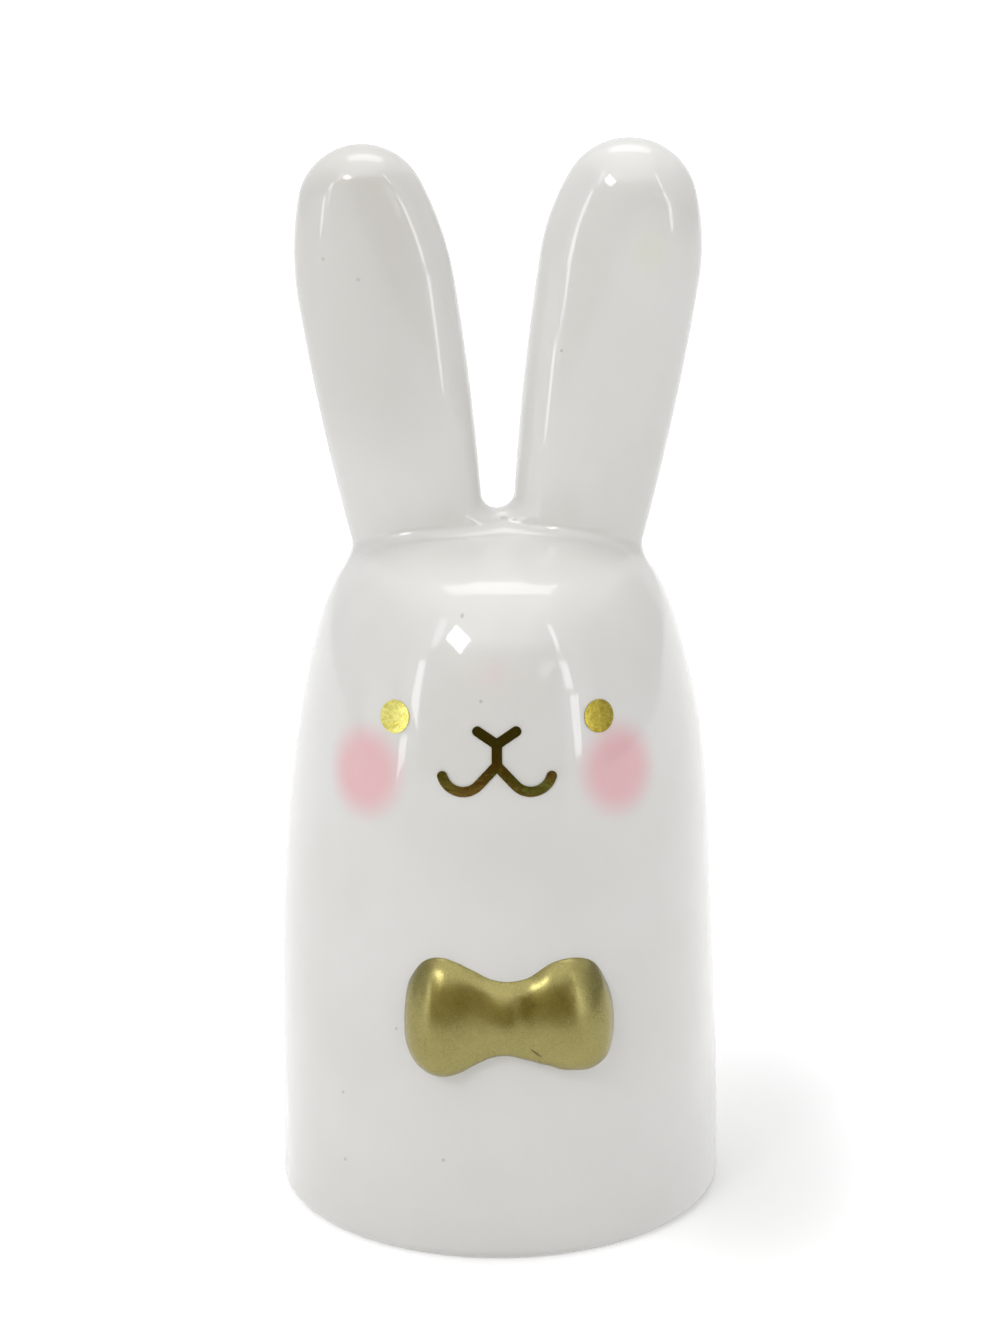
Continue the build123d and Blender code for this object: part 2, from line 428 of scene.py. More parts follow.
def add_net(bm):
    """The upper form, cut level at its foot. Returns the vertices of the cut, by angle."""
    points, quads = surface_net(NET_LOW, NET_HIGH, NET_STEP)
    mesh = from_arrays("net", settle(points), quads)
    bm.from_mesh(mesh)
    bpy.data.meshes.remove(mesh)
    bmesh.ops.bisect_plane(
        bm,
        geom=bm.verts[:] + bm.edges[:] + bm.faces[:],
        dist=CUT_MERGE,
        plane_co=(0, 0, CUT_HEIGHT),
        plane_no=(0, 0, 1),
        clear_inner=True,
    )
    rim = [v for v in bm.verts if v.is_boundary]
    rim.sort(key=angle_of)
    radius = float(radius_at(CUT_HEIGHT))
    for v in rim:
        a = angle_of(v)
        v.co = (radius * math.cos(a), radius * math.sin(a), CUT_HEIGHT)
    return rim


def add_lathe(bm):
    """The lower form and the hollow. Returns the vertices of the top ring and their angles."""
    path, glazed, ceiling = lathe_path()
    angles = -math.pi + 2 * math.pi * (np.arange(COLUMNS) + 0.5) / COLUMNS
    rings = []
    for i, (r, z) in enumerate(path):
        radii = r + (bulge(angles, z) if i < glazed else 0 * angles)
        rings.append([
            bm.verts.new((radius * math.cos(a), radius * math.sin(a), z))
            for a, radius in zip(angles, radii)
        ])
    for i in range(len(rings) - 1):
        for j in range(COLUMNS):
            k = (j + 1) % COLUMNS
            face = bm.faces.new((rings[i][j], rings[i + 1][j], rings[i + 1][k], rings[i][k]))
            face.material_index = 1 if i >= glazed else 0
    crown = bm.verts.new((0, 0, ceiling))
    for j in range(COLUMNS):
        face = bm.faces.new((rings[-1][j], crown, rings[-1][(j + 1) % COLUMNS]))
        face.material_index = 1
    return rings[0], angles


def glazed_body():
    """One closed mesh of the bell, hollow inside, with both ears on it, in mm."""
    bm = bmesh.new()
    rim = add_net(bm)
    ring, ring_angle = add_lathe(bm)
    # Zip the uneven rim of the net to the even top ring of the lathe
    rim_angle = [angle_of(v) for v in rim]
    i = j = 0
    while i < len(rim) or j < COLUMNS:
        a, b = rim[i % len(rim)], ring[j % COLUMNS]
        next_rim = rim_angle[(i + 1) % len(rim)] + 2 * math.pi * ((i + 1) // len(rim))
        next_ring = ring_angle[(j + 1) % COLUMNS] + 2 * math.pi * ((j + 1) // COLUMNS)
        if j >= COLUMNS or (i < len(rim) and next_rim <= next_ring):
            bm.faces.new((a, b, rim[(i + 1) % len(rim)]))
            i += 1
        else:
            bm.faces.new((a, b, ring[(j + 1) % COLUMNS]))
            j += 1
    bmesh.ops.recalc_face_normals(bm, faces=bm.faces[:])
    return bm


def may_be_ear(centre, ear):
    return centre.z > SEAT_LOWEST and centre.x * ear["side"] > 0


def cut_ears(bm):
    """Cut the form at the luted seats and return a function that names the piece of a face."""
    planes = {}
    for name, ear in EARS.items():
        foot, _, along = ear_axes(ear)
        seat = foot + along * (EAR_SEAT_RISE / along[2])
        planes[name] = (Vector(seat), Vector(along))
        near = [f for f in bm.faces if may_be_ear(f.calc_center_median(), ear)]
        edges = {e for f in near for e in f.edges}
        verts = {v for f in near for v in f.verts}
        geom = sorted(verts, key=lambda v: v.index) + sorted(edges, key=lambda e: e.index) + near
        bmesh.ops.bisect_plane(bm, geom=geom, dist=CUT_MERGE, plane_co=seat, plane_no=along)
        bm.verts.index_update()
        bm.edges.index_update()

    def piece_of(face):
        centre = face.calc_center_median()
        for name, ear in EARS.items():
            seat, along = planes[name]
            if may_be_ear(centre, ear) and (centre - seat).dot(along) > 0:
                return name
        return "body"

    return piece_of


def placed(name, data):
    obj = bpy.data.objects.new(name, data)
    bpy.context.scene.collection.objects.link(obj)
    return obj


def link(name, mesh, materials, node):
    """Object of a mesh in mm that stands for a CAD node and rides on the body."""
    mesh.transform(Matrix.Scale(MM, 4))
    obj = placed(name, mesh)
    for material in materials:
        mesh.materials.append(material)
    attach(obj, "root")
    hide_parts(node)
    return obj


# Name of each glazed object and of the CAD node that it stands for
GLAZED = {
    "body": ("body_glaze", "body_shell"),
    "left": ("left_ear_glaze", "left_ear"),
    "right": ("right_ear_glaze", "right_ear"),
}


def glazed_pieces(glaze, bisque):
    """The body and both ears as closed meshes of their own, each with a flat luted seat."""
    bm = glazed_body()
    piece_of = cut_ears(bm)
    faces_of = {name: [] for name in GLAZED}
    for face in bm.faces:
        faces_of[piece_of(face)].append(face)
    for name, (title, node) in GLAZED.items():
        part = bmesh.new()
        made = {}
        for face in faces_of[name]:
            ring = []
            for v in face.verts:
                if v not in made:
                    made[v] = part.verts.new(v.co)
                ring.append(made[v])
            part.faces.new(ring).material_index = face.material_index
        bmesh.ops.holes_fill(part, edges=[e for e in part.edges if e.is_boundary], sides=0)
        bmesh.ops.recalc_face_normals(part, faces=part.faces[:])
        mesh = bpy.data.meshes.new(title)
        part.to_mesh(mesh)
        part.free()
        mesh.shade_smooth()
        set_normals(mesh)
        link(title, mesh, [glaze, bisque], node)
    bm.free()


def read_vectors(items, key, count):
    values = np.empty(count * 3)
    items.foreach_get(key, values)
    return values.reshape(-1, 3)


def set_normals(mesh):
    """Exact normals where the form comes from the field, the mesh's own elsewhere."""
    count = len(mesh.vertices)
    co = read_vectors(mesh.vertices, "co", count)
    normal = read_vectors(mesh.vertex_normals, "vector", count)
    upper = (co[:, 2] > NORMAL_FROM) & (np.abs(field(co)) < ON_SURFACE)
    if upper.any():
        g = gradient(co[upper], NORMAL_STEP)
        normal[upper] = g / np.linalg.norm(g, axis=1, keepdims=True)
    corner = np.empty(len(mesh.loops), int)
    mesh.loops.foreach_get("vertex_index", corner)
    loop_normal = normal[corner]
    for face in mesh.polygons:
        if face.loop_total > SEAT_CORNERS:
            for k in face.loop_indices:
                loop_normal[k] = face.normal
    mesh.normals_split_custom_set([tuple(n) for n in loop_normal])


# Bow tie: arc from the middle, bottom, top and depth of each station, all in mm
BOW_STATIONS = np.array([
    (-10.62, 27.23, 31.15, 0.30),
    (-10.35, 26.23, 32.35, 0.95),
    (-9.67, 24.73, 33.55, 1.75),
    (-8.76, 23.48, 34.80, 2.40),
    (-7.86, 22.88, 35.35, 2.80),
    (-6.97, 22.48, 35.60, 3.05),
    (-6.09, 22.33, 35.60, 3.10),
    (-5.22, 22.43, 35.35, 3.00),
    (-4.36, 22.74, 35.08, 2.80),
    (-3.50, 23.21, 34.65, 2.50),
    (-2.65, 23.75, 34.30, 2.20),
    (-1.80, 24.20, 33.80, 2.02),
    (-0.96, 24.65, 33.45, 2.08),
    (-0.12, 24.90, 33.20, 2.30),
    (0.73, 25.00, 33.10, 2.40),
    (1.57, 24.75, 33.15, 2.28),
    (2.42, 24.40, 33.30, 2.02),
    (3.27, 24.15, 33.55, 2.10),
    (4.13, 23.81, 34.06, 2.40),
    (5.00, 23.65, 34.64, 2.72),
    (5.87, 23.20, 35.05, 2.95),
    (6.75, 22.95, 35.25, 3.08),
    (7.65, 22.85, 35.35, 3.12),
    (8.54, 22.70, 35.30, 3.05),
    (9.46, 22.75, 35.10, 2.90),
    (10.38, 23.08, 34.70, 2.60),
    (11.30, 23.58, 33.75, 2.10),
    (12.20, 25.28, 31.95, 1.30),
    (12.75, 26.98, 30.70, 0.60),
    (12.92, 28.08, 29.80, 0.25),
])
BOW_COLUMNS = 120
BOW_ROWS = 41
BOW_MIDDLE = 28.85
BOW_SAG = 0.4
BOW_SUNK = 0.3
BOW_EDGE_LIFT = 0.25
# Share of the columns' spacing that crowds to the ends, and how round the sections are
BOW_CROWDING = 0.35
BOW_EASING = 6
BOW_SPACING_POWER = 0.92
BOW_UPPER_POWER = 1.25
BOW_LOWER_POWER = 0.78


def natural(x, y, at):
    """Smooth values between stations, a cubic with slopes that never overshoot."""
    h, d = np.diff(x), np.diff(y) / np.diff(x)
    m = np.zeros_like(y)
    m[0], m[-1] = d[0], d[-1]
    same = d[:-1] * d[1:] > 0
    w1, w2 = 2 * h[1:] + h[:-1], h[1:] + 2 * h[:-1]
    inner = np.zeros(len(same))
    inner[same] = ((w1 + w2)[same]) / (w1[same] / d[:-1][same] + w2[same] / d[1:][same])
    m[1:-1] = inner
    k = np.clip(np.searchsorted(x, at) - 1, 0, len(x) - 2)
    return hermite((at - x[k]) / h[k], h[k], y[k], y[k + 1], m[k], m[k + 1])


def relaxed(values, rounds):
    """Values eased along a row, ends kept."""
    for _ in range(rounds):
        values[1:-1] = values[1:-1] + 0.25 * (values[2:] - 2 * values[1:-1] + values[:-2])
    return values


def bow_mesh():
    """The gold bow as one closed mesh in mm, its back just inside the body's surface."""
    arcs = BOW_STATIONS[:, 0]
    even = np.linspace(0, 1, BOW_COLUMNS)
    crowded = 0.5 - 0.5 * np.cos(np.linspace(0, math.pi, BOW_COLUMNS))
    share = BOW_CROWDING * crowded + (1 - BOW_CROWDING) * even
    at = arcs[0] + (arcs[-1] - arcs[0]) * share
    bottom, top, depth = (
        relaxed(natural(arcs, BOW_STATIONS[:, c], at), BOW_EASING) for c in (1, 2, 3)
    )
    radius = float(radius_at(BOW_MIDDLE))
    points, rows = [], BOW_ROWS
    phi = np.linspace(-math.pi / 2, math.pi / 2, rows)
    for s, low, high, deep in zip(at, bottom, top, depth):
        middle, half = (low + high) / 2, (high - low) / 2
        for a in phi:
            across = np.sign(math.sin(a)) * abs(math.sin(a)) ** BOW_SPACING_POWER
            z = middle + half * (across - BOW_SAG * (1 - across * across))
            out = deep * max(math.cos(a), 0) ** (BOW_UPPER_POWER if a > 0 else BOW_LOWER_POWER)
            turn = s / radius
            reach = float(radius_at(z)) - BOW_SUNK + out + BOW_EDGE_LIFT * min(out, 1)
            points.append((reach * math.sin(turn), -reach * math.cos(turn), z))
    faces = grid_faces(BOW_COLUMNS, rows)
    last = (BOW_COLUMNS - 1) * rows
    faces += [(a, a + rows - 1, a + 2 * rows - 1, a + rows) for a in range(0, last, rows)]
    faces.append(tuple(range(rows - 1, -1, -1)))
    faces.append(tuple(range(last, last + rows)))
    mesh = from_arrays("bow_tie_gold", points, faces)
    bm = bmesh.new()
    bm.from_mesh(mesh)
    bmesh.ops.recalc_face_normals(bm, faces=bm.faces[:])
    bm.to_mesh(mesh)
    bm.free()
    mesh.shade_smooth()
    return mesh


class Tree:
    """Short ways to build the nodes of a material or a world."""

    def __init__(self, block, output="OutputMaterial"):
        self.block = block
        self.block.use_nodes = True
        self.tree = block.node_tree
        self.tree.nodes.clear()
        self.output = self.node(output)

    def link(self, value, socket):
        if isinstance(value, bpy.types.NodeSocket):
            self.tree.links.new(value, socket)
        elif value is not None:
            socket.default_value = value

    def node(self, kind, inputs=None, **settings):
        made = self.tree.nodes.new("ShaderNode" + kind)
        for key, value in settings.items():
            setattr(made, key, value)
        for key, value in (inputs or {}).items():
            self.link(value, made.inputs[key])
        return made

    def place(self):
        return self.node("TexCoord").outputs["Object"]

    def math(self, operation, a, b=None):
        made = self.node("Math", operation=operation)
        for i, value in enumerate((a, b)):
            self.link(value, made.inputs[i])
        return made.outputs[0]

    def vector(self, operation, a, b=None):
        made = self.node("VectorMath", operation=operation)
        for i, value in enumerate((a, b)):
            self.link(value, made.inputs[i])
        is_number = operation in ("DOT_PRODUCT", "LENGTH", "DISTANCE")
        return made.outputs["Value"] if is_number else made.outputs[0]

    def along(self, where, direction):
        return self.vector("DOT_PRODUCT", where, direction)

    def length(self, *parts):
        """Root of the sum of the squares."""
        total = None
        for part in parts:
            square = self.math("MULTIPLY", part, part)
            total = square if total is None else self.math("ADD", total, square)
        return self.math("SQRT", total)

    def step(self, value, low, high, to_low=0.0, to_high=1.0, kind="SMOOTHSTEP"):
        ends = {"From Min": low, "From Max": high, "To Min": to_low, "To Max": to_high}
        made = self.node("MapRange", {"Value": value, **ends}, interpolation_type=kind)
        return made.outputs["Result"]

    def noise(self, where, scale, detail=2.0, roughness=0.5, distortion=0.0):
        inputs = {"Vector": where, "Scale": scale, "Detail": detail, "Roughness": roughness}
        return self.node("TexNoise", {**inputs, "Distortion": distortion}).outputs["Fac"]

    def mix(self, share, a, b):
        made = self.node("Mix", data_type="RGBA")
        self.link(share, made.inputs["Factor"])
        colours = [s for s in made.inputs if s.type == "RGBA"]
        self.link(a, colours[0])
        self.link(b, colours[1])
        return [s for s in made.outputs if s.type == "RGBA"][0]

    def bump(self, height, distance, normal=None):
        inputs = {"Height": height, "Strength": 1.0, "Distance": distance, "Normal": normal}
        return self.node("Bump", inputs).outputs["Normal"]

    def finish(self, shader):
        self.tree.links.new(shader.outputs[0], self.output.inputs["Surface"])
        return self.block

    def principled(self, **inputs):
        named = {key.replace("_", " "): value for key, value in inputs.items()}
        return self.finish(self.node("BsdfPrincipled", named))


def material_tree(name):
    return Tree(bpy.data.materials.new(name))


def srgb(r, g, b):
    """Linear colour of an 8 bit one."""
    return tuple(
        (c / 255 / 12.92) if c <= 10.3 else ((c / 255 + 0.055) / 1.055) ** 2.4 for c in (r, g, b)
    ) + (1.0,)


def on_body(angle, z):
    """Point in metres on the body at degrees from the front and a height in mm."""
    r = float(radius_at(z)) * MM
    a = math.radians(angle)
    return (r * math.sin(a), -r * math.cos(a), z * MM)


SPOT_DEPTH = 8.0


def spot(t, where, angle, z, half_width, half_height, soft_from, soft_to):
    """Share of a soft round patch on the body, from its middle outward."""
    a = math.radians(angle)
    gap = t.vector("SUBTRACT", where, on_body(angle, z))
    width, height, depth = half_width * MM, half_height * MM, SPOT_DEPTH * MM
    u = t.along(gap, (math.cos(a) / width, math.sin(a) / width, 0))
    v = t.along(gap, (0, 0, 1 / height))
    w = t.along(gap, (math.sin(a) / depth, -math.cos(a) / depth, 0))
    return t.step(t.length(u, v, w), soft_to, soft_from)


# Pink cheeks: degrees from the front, height and half width, in mm
CHEEKS = [(-40.3, 54.7, 4.9), (35.7, 55.2, 4.7)]
CHEEK_HALF_HEIGHT = 4.9
# Small pits and specks in the glaze, with their sizes in mm: on the body by degrees from the
# front and height, on the front of the ears by x and z
BODY_SPECKS = [
    (-12.8, 72.2, 0.26),
    (-5.1, 63.8, 0.22),
    (-44.1, 9.3, 0.24),
    (-14.7, 11.9, 0.24),
    (-27.4, 26.6, 0.20),
    (-44.6, 17.3, 0.22),
]
EAR_SPECKS = [
    (-18.6, 107.3, 0.24),
    (-14.8, 105.3, 0.26),
    (7.1, 97.2, 0.20),
]
# A faint pink blotch above the face, and a faint yellow patch on the right ear
BLOTCH = (-1.0, 66.5, 2.2, 1.8)
YELLOW_PATCH = (16.6, 108.2)


def glaze_material():
    t = material_tree("white_glaze")
    where = t.place()
    clouds = t.noise(where, 55.0, detail=3.0, roughness=0.55)
    colour = t.mix(t.step(clouds, 0.3, 0.7), srgb(229, 228, 224), srgb(234, 233, 230))
    pools = t.step(t.noise(where, 21.0, detail=1.0), 0.45, 0.75)
    colour = t.mix(t.math("MULTIPLY", pools, 0.35), colour, srgb(231, 227, 224))
    for angle, z, half_width in CHEEKS:
        cheek = spot(t, where, angle, z, half_width, CHEEK_HALF_HEIGHT, 0.5, 1.28)
        fine = t.noise(where, 420.0, detail=3.0, roughness=0.6)
        grain = t.step(fine, 0.2, 0.8, 0.94, 1.0)
        colour = t.mix(t.math("MULTIPLY", cheek, grain), colour, srgb(239, 190, 194))
    blotch = spot(t, where, *BLOTCH, 0.1, 1.3)
    colour = t.mix(t.math("MULTIPLY", blotch, 0.28), colour, srgb(244, 218, 218))
    # Painted shade: the left ear is a touch greyer, against the stronger light that falls on it
    # from the left
    high = t.step(t.along(where, (0, 0, 1)), 80 * MM, 94 * MM)
    leftward = t.step(t.along(where, (-1, 0, 0)), 3 * MM, 12 * MM)
    colour = t.mix(t.math("MULTIPLY", high, leftward), colour, srgb(222, 220, 215))
    speck = srgb(203, 201, 194)
    for angle, z, size in BODY_SPECKS:
        colour = t.mix(spot(t, where, angle, z, size, size, 0.3, 1.3), colour, speck)
    flat = t.vector("MULTIPLY", where, (1, 0, 1))
    front = t.step(t.along(where, (0, 1, 0)), 1 * MM, 0.0)

    def on_ear(x, z, soft_from, soft_to):
        far = t.vector("DISTANCE", flat, (x * MM, 0, z * MM))
        return t.math("MULTIPLY", t.step(far, soft_to * MM, soft_from * MM), front)

    for x, z, size in EAR_SPECKS:
        colour = t.mix(on_ear(x, z, 0.3 * size, 1.3 * size), colour, speck)
    patch = on_ear(*YELLOW_PATCH, 0.6, 3.4)
    colour = t.mix(t.math("MULTIPLY", patch, 0.45), colour, srgb(234, 233, 214))
    waves = t.bump(t.noise(where, 130.0, detail=1.0, roughness=0.4), 0.04 * MM)
    normal = t.bump(t.noise(where, 900.0), 0.0022 * MM, waves)
    return t.principled(
        Base_Color=colour,
        Roughness=t.step(clouds, 0.2, 0.8, 0.30, 0.38),
        IOR=1.5,
        Specular_IOR_Level=0.25,
        Coat_Weight=1.0,
        Coat_Roughness=0.035,
        Coat_IOR=1.5,
        Normal=normal,
        Coat_Normal=normal,
    )


def bisque_material():
    t = material_tree("bare_bisque")
    where = t.place()
    grain = t.noise(where, 2500.0, detail=4.0, roughness=0.7)
    stain = t.noise(where, 90.0, detail=3.0, roughness=0.6)
    return t.principled(
        Base_Color=t.mix(t.step(stain, 0.3, 0.7), srgb(226, 220, 208), srgb(236, 231, 222)),
        Roughness=t.step(grain, 0.2, 0.8, 0.82, 0.95),
        Normal=t.bump(grain, 0.03 * MM),
    )


# A short scratch low on the right lobe of the bow: middle and half sizes in mm, and direction
SCRATCH = (3.9, 25.6)
SCRATCH_HALF_LENGTH = 0.8
SCRATCH_HALF_WIDTH = 0.13
SCRATCH_COS, SCRATCH_SIN = 0.79, 0.61


def gold_material():
    t = material_tree("gold_lustre")
    where = t.place()
    patches = t.noise(where, 260.0, detail=3.0, roughness=0.55)
    flakes = t.noise(where, 5200.0, roughness=0.6)
    streaks = t.noise(t.vector("MULTIPLY", where, (1, 1, 0.35)), 900.0, detail=3.0, roughness=0.6)
    colour = t.mix(t.step(patches, 0.3, 0.72), srgb(128, 120, 63), srgb(140, 131, 75))
    colour = t.mix(t.step(flakes, 0.35, 0.75, 0.0, 0.35), colour, srgb(169, 157, 102))
    gap = t.vector("SUBTRACT", where, (SCRATCH[0] * MM, 0, SCRATCH[1] * MM))
    length, width = SCRATCH_HALF_LENGTH * MM, SCRATCH_HALF_WIDTH * MM
    u = t.along(gap, (SCRATCH_COS / length, 0, -SCRATCH_SIN / length))
    v = t.along(gap, (SCRATCH_SIN / width, 0, SCRATCH_COS / width))
    colour = t.mix(t.step(t.length(u, v), 1.3, 0.5), colour, srgb(92, 75, 38))
    uneven = t.bump(streaks, 0.01 * MM, t.bump(patches, 0.03 * MM))
    return t.principled(
        Base_Color=colour,
        Metallic=1.0,
        Roughness=t.step(patches, 0.25, 0.75, 0.25, 0.33),
        Normal=t.bump(flakes, 0.006 * MM, uneven),
        Coat_Weight=0.6,
        Coat_Roughness=0.22,
    )


def eye_material():
    """Crinkled gold foil, paler on the left eye than on the right one: painted reflection, the left
    eye painted as lit and the right one as shaded.
    """
    t = material_tree("gold_foil")
    where = t.place()
    cells = {"Vector": where, "Scale": 1900.0, "Randomness": 1.0}
    crinkle = t.node("TexVoronoi", cells, feature="SMOOTH_F1").outputs["Distance"]
    folds = t.noise(where, 1500.0, detail=4.0, roughness=0.65, distortion=0.6)
    # Painted reflection: a lit copy of the foil for the left eye and a shaded copy for the right
    # one
    lit_foil = t.mix(t.step(folds, 0.3, 0.7), srgb(197, 186, 88), srgb(221, 215, 133))
    shaded_foil = t.mix(t.step(folds, 0.3, 0.7), srgb(167, 150, 56), srgb(187, 172, 78))
    return t.principled(
        Base_Color=t.mix(t.step(t.along(where, (1, 0, 0)), -5 * MM, 5 * MM), lit_foil, shaded_foil),
        Metallic=1.0,
        Roughness=t.step(folds, 0.2, 0.8, 0.16, 0.3),
        Normal=t.bump(folds, 0.02 * MM, t.bump(crinkle, 0.012 * MM)),
    )


def bronze_material():
    """Mirror-bright bronze foil, darker on the nose than on the mouth, with painted shade on the
    nose for the darker reflection it holds.
    """
    t = material_tree("bronze_foil")
    where = t.place()
    drift = t.noise(where, 330.0, distortion=0.4)
    fine = t.noise(where, 1400.0, detail=3.0, roughness=0.6)
    colour = t.mix(t.step(drift, 0.38, 0.56), srgb(97, 95, 42), srgb(105, 83, 39))
    colour = t.mix(t.step(fine, 0.5, 0.8, 0.0, 0.5), colour, srgb(113, 103, 51))
    # Painted shade: the nose above 55 mm gets a darker colour for the darker reflection it holds
    nose = t.step(t.along(where, (0, 0, 1)), 55 * MM, 60 * MM)
    return t.principled(
        Base_Color=t.mix(nose, colour, srgb(80, 75, 40)),
        Metallic=1.0,
        Roughness=t.step(fine, 0.2, 0.8, 0.08, 0.16),
        Normal=t.bump(fine, 0.01 * MM, t.bump(drift, 0.03 * MM)),
    )


def node_material(name, material):
    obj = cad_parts[name]
    obj.data.materials.clear()
    obj.data.materials.append(material)


# Studio. The floor's lift rises with the distance from the object, in metres, and is less in an
# oval to the right of the foot, a painted shadow that deepens the soft shadow there
WHITE = (1, 1, 1, 1)
WORLD_LEVEL = 0.424
FLOOR_HALF = 4
FLOOR_COLOUR = (0.86, 0.86, 0.86, 1)
FLOOR_LIFT = 0.445
FLOOR_FAR_LIFT = 0.6
FLOOR_SHADE = 0.255
SHADE_MIDDLE = (30.0, 4.0)
SHADE_HALF_SIZE = (15.0, 38.0)


def background_rays(t):
    """1 for the rays that are to see the white background: camera, glossy and transmission ones."""
    path = t.node("LightPath")
    seen = path.outputs["Is Camera Ray"]
    for kind in ("Is Glossy Ray", "Is Transmission Ray"):
        seen = t.math("MAXIMUM", seen, path.outputs[kind])
    return seen


def floor_material():
    """Matt white, lifted for those rays so that the open floor is white and shadows stay, with a
    painted shadow in an oval to the right of the foot.
    """
    t = material_tree("floor")
    where = t.place()
    lift = t.step(t.vector("LENGTH", where), 0.1, 0.7, FLOOR_LIFT, FLOOR_FAR_LIFT, "LINEAR")
    # Painted shadow: the lift is lowered in an oval to the right of the foot
    gap = t.vector("SUBTRACT", where, (*(v * MM for v in SHADE_MIDDLE), 0))
    oval = t.vector("MULTIPLY", gap, (*(1 / (v * MM) for v in SHADE_HALF_SIZE), 0))
    shade = t.step(t.vector("LENGTH", oval), 0.3, 1.5, FLOOR_SHADE, 0.0)
    glow = t.math("SUBTRACT", lift, shade)
    return t.principled(
        Base_Color=FLOOR_COLOUR,
        Roughness=0.9,
        Specular_IOR_Level=0.0,
        Emission_Color=WHITE,
        Emission_Strength=t.math("MULTIPLY", background_rays(t), glow),
    )


def set_world():
    world = bpy.data.worlds.new("studio")
    bpy.context.scene.world = world
    t = Tree(world, "OutputWorld")
    level = t.step(background_rays(t), 0.0, 1.0, WORLD_LEVEL, 1.0, "LINEAR")
    t.finish(t.node("Background", {"Color": WHITE, "Strength": level}))


def staged(name, points, faces, material):
    """Object of the studio, with its points in metres."""
    mesh = from_arrays(name, points, faces)
    mesh.materials.append(material)
    obj = placed(name, mesh)
    return obj


def panel(name, level, corners):
    """A lit studio panel with corners in mm, which only shows in reflections."""
    t = material_tree(name)
    glow = t.finish(t.node("Emission", {"Strength": level}))
    obj = staged(name, [[v * MM for v in c] for c in corners], [(0, 1, 2, 3)], glow)
    obj.visible_camera = False
    obj.visible_shadow = False
    return obj


def facing(y, *corners):
    """Corners in a plane across the view, from x and z."""
    return [(x, y, z) for x, z in corners]


def flat(z, *corners):
    """Corners in a level plane, from x and y."""
    return [(x, y, z) for x, y in corners]


def wall(x, near, far, bottom, top):
    """Corners of an upright rectangle along the view."""
    return [(x, near, bottom), (x, far, bottom), (x, far, top), (x, near, top)]


CARD_REACH = 1.3
CARD_COLOUR = (0.62, 0.51, 0.18, 1)
CARD_AZIMUTHS = np.linspace(-46, 39, 18)
CARD_ELEVATIONS = np.linspace(0, 30, 9)


def dark_card():
    """The unlit room on the camera's side, as a curved card round the front."""
    points = []
    for azimuth in CARD_AZIMUTHS:
        for elevation in CARD_ELEVATIONS:
            a, e = math.radians(azimuth), math.radians(elevation)
            x, y, z = math.sin(a) * math.cos(e), -math.cos(a) * math.cos(e), math.sin(e)
            points.append((CARD_REACH * x, CARD_REACH * y, CARD_REACH * z))
    faces = grid_faces(len(CARD_AZIMUTHS), len(CARD_ELEVATIONS))
    t = material_tree("dark_card")
    matt = t.principled(Base_Color=CARD_COLOUR, Roughness=1.0, Specular_IOR_Level=0.0)
    card = staged("dark_card", points, faces, matt)
    card.visible_camera = False
    card.visible_diffuse = False
    card.visible_shadow = False


# The plane that the panels in front of the object stand in, in mm
FRONT = -350


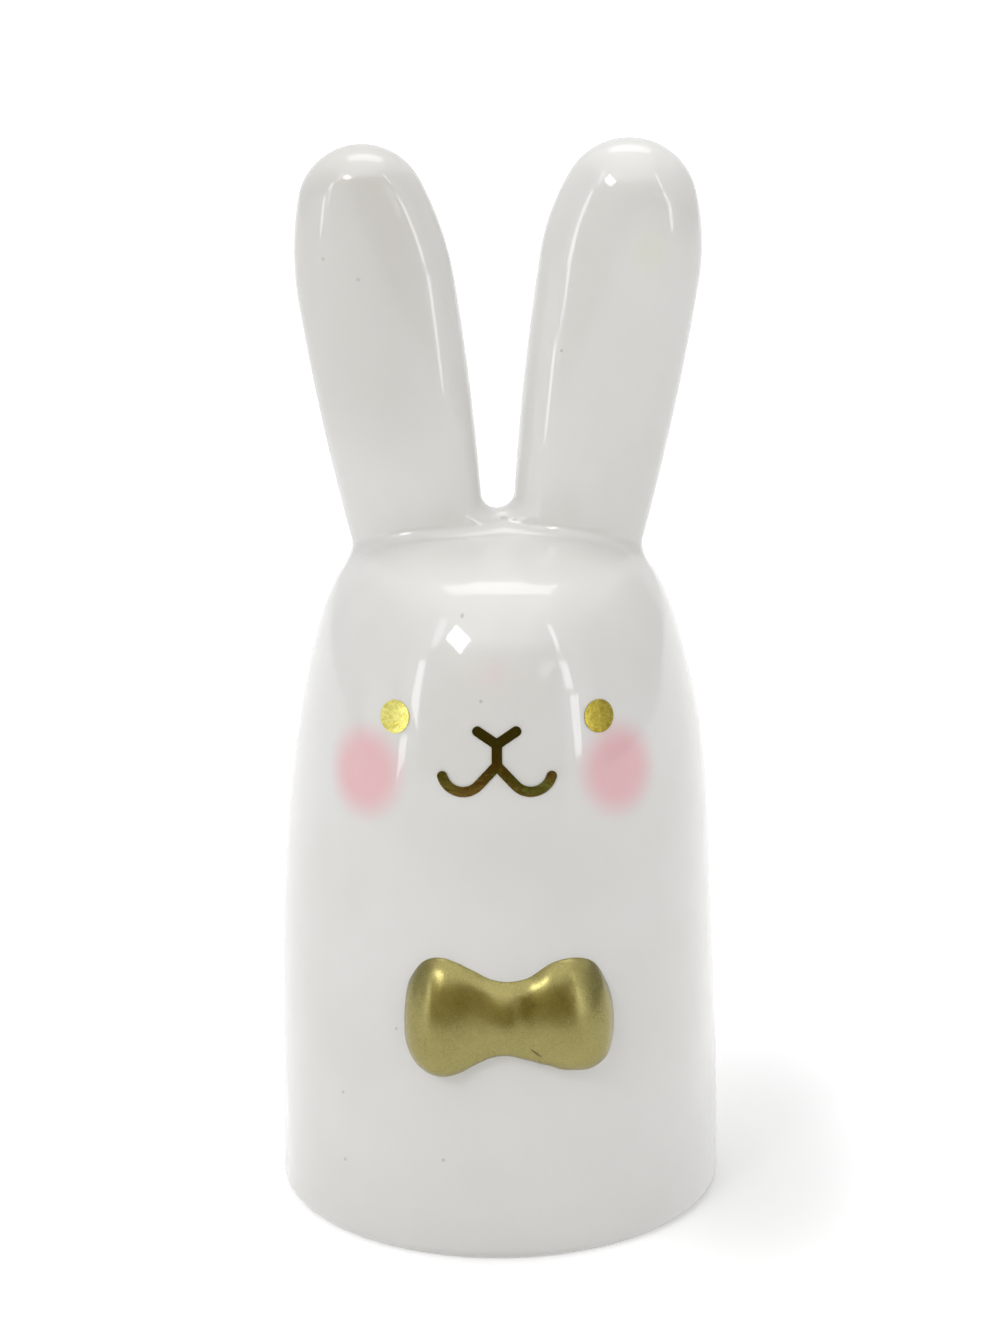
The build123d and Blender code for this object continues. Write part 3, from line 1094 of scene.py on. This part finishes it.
def set_stage():
    """Floor, card and panels. Panels that would share a plane stand a little apart."""
    corners = [(-1, -1), (1, -1), (1, 1), (-1, 1)]
    points = [(FLOOR_HALF * x, FLOOR_HALF * y, 0) for x, y in corners]
    staged("floor", points, [(0, 1, 2, 3)], floor_material())
    dark_card()
    panel("strip_left_high", 3.2, facing(FRONT, (-402, 616), (-293, 526), (-302, 275), (-360, 287)))
    panel("window_left", 9.5, facing(FRONT, (-230, 453), (-117, 297), (-159, 231), (-265, 325)))
    panel("strip_left_mid", 5.3, facing(FRONT, (-428, 222), (-371, 218), (-373, 80), (-445, 102)))
    panel("strip_left_low", 5.3, facing(FRONT, (-537, 66), (-457, 71), (-461, 40), (-542, 6)))
    panel("strip_right_high", 5.3, facing(FRONT, (278, 455), (317, 462), (314, 257), (284, 250)))
    panel("window_right", 1.7, facing(FRONT, (150, 172), (205, 199), (279, 199), (191, 145)))
    panel("strip_right_mid", 5.3, facing(FRONT, (282, 206), (339, 209), (364, 128), (305, 129)))
    panel("strip_right_low", 5.3, facing(FRONT, (327, 117), (399, 116), (373, 54), (327, 54)))
    panel("strip_near", 5.3, facing(-150, (-156, 118), (-147, 118), (-170, 90), (-180, 90)))
    softbox = panel("softbox_top", 4.1, flat(676, (-240, 0), (270, -10), (260, 240), (-230, 250)))
    softbox.visible_glossy = False
    softbox = panel("softbox_face", 3.5, flat(672, (-215, 0), (245, -10), (235, 240), (-205, 250)))
    softbox.visible_diffuse = False
    ceiling = flat(900, (-500, -1400), (500, -1400), (500, -100), (-500, -100))
    panel("ceiling", 1.6, ceiling).visible_diffuse = False
    panel("wall_left", 0.62, wall(-900, -500, 900, -20, 900))
    panel("wall_right", 1.0, wall(900, -500, 900, -20, 700)).visible_glossy = False
    panel("wall_right_shine", 0.5, wall(890, -500, 900, -20, 700)).visible_diffuse = False
    key = [(-760, -420, 560), (-760, 160, 560), (-420, 160, 940), (-420, -420, 940)]
    panel("key", 0.9, key).visible_glossy = False
    back = facing(1000, (-1500, -20), (1500, -20), (1500, 1500), (-1500, 1500))
    panel("wall_back", 0.85, back).visible_diffuse = False
    panel("eye_light_left", 1.15, wall(-500, -300, -70, 20, 100)).visible_diffuse = False


# Camera fitted to the photograph: place in metres, and focal length in its pixels
CAMERA_PLACE = (0.00024, -0.5, 0.2294)
CAMERA_PITCH = math.radians(18.63)
CAMERA_ROLL = math.radians(-0.33)
FOCAL_PIXELS = 4753.8
LONG_SIDE_PIXELS = 1333
SENSOR = 36.0


def set_camera():
    forward = Vector((0, math.cos(CAMERA_PITCH), -math.sin(CAMERA_PITCH)))
    right = Vector((1, 0, 0))
    up = right.cross(forward)
    c, s = math.cos(CAMERA_ROLL), math.sin(CAMERA_ROLL)
    x_axis, y_axis = c * right + s * up, -s * right + c * up
    data = bpy.data.cameras.new("camera")
    data.sensor_fit = "AUTO"
    data.sensor_width = SENSOR
    data.lens = SENSOR * FOCAL_PIXELS / LONG_SIDE_PIXELS
    data.clip_start, data.clip_end = 0.01, 20
    data.dof.use_dof = False
    obj = placed("camera", data)
    turn = Matrix((x_axis, y_axis, -forward)).transposed().to_4x4()
    obj.matrix_world = Matrix.Translation(CAMERA_PLACE) @ turn
    bpy.context.scene.camera = obj


set_camera()
glazed_pieces(glaze_material(), bisque_material())
link("bow_tie_gold", bow_mesh(), [gold_material()], "bow_tie")
foil = eye_material()
node_material("left_eye", foil)
node_material("right_eye", foil)
node_material("nose_mouth", bronze_material())
set_world()
set_stage()
bpy.context.scene.view_settings.view_transform = "Standard"
